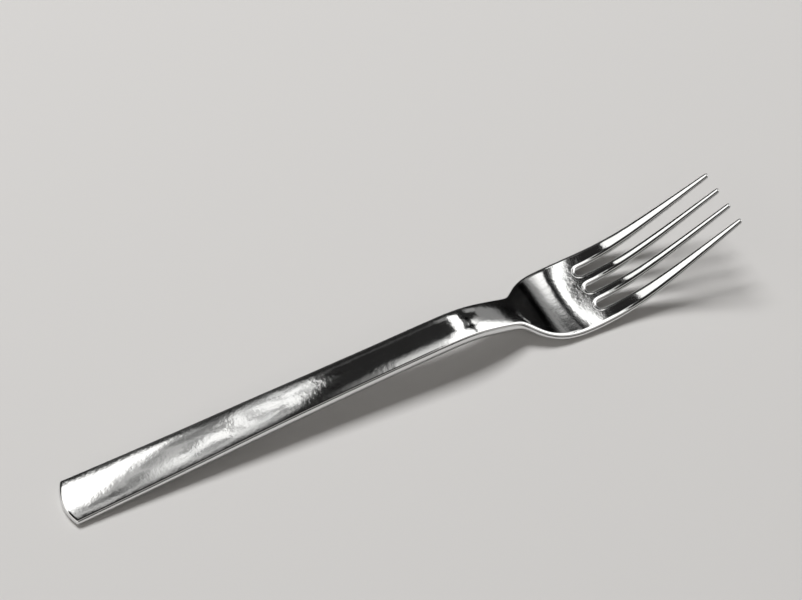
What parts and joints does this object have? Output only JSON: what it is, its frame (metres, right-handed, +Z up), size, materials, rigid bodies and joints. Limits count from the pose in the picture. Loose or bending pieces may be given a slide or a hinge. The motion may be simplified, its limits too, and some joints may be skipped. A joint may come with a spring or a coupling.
{
  "type": "dinner fork",
  "caption": "One-piece table fork with a flat tapering handle, bent neck, rounded shoulders, shallow bowl and upswept tines, lying bowl side up on the table.",
  "frame": {"origin": "on the table, under the middle of the fork's bounding box", "axes": "+X along the fork towards the tine tips, +Y across it, +Z up from the table with the bowl facing up"},
  "size_m": [0.205, 0.026, 0.0218],
  "materials": {
    "steel": "mirror-polished stainless steel with fine scratches"
  },
  "bodies": {
    "root": {"fork": "steel"}
  },
  "joints": []
}
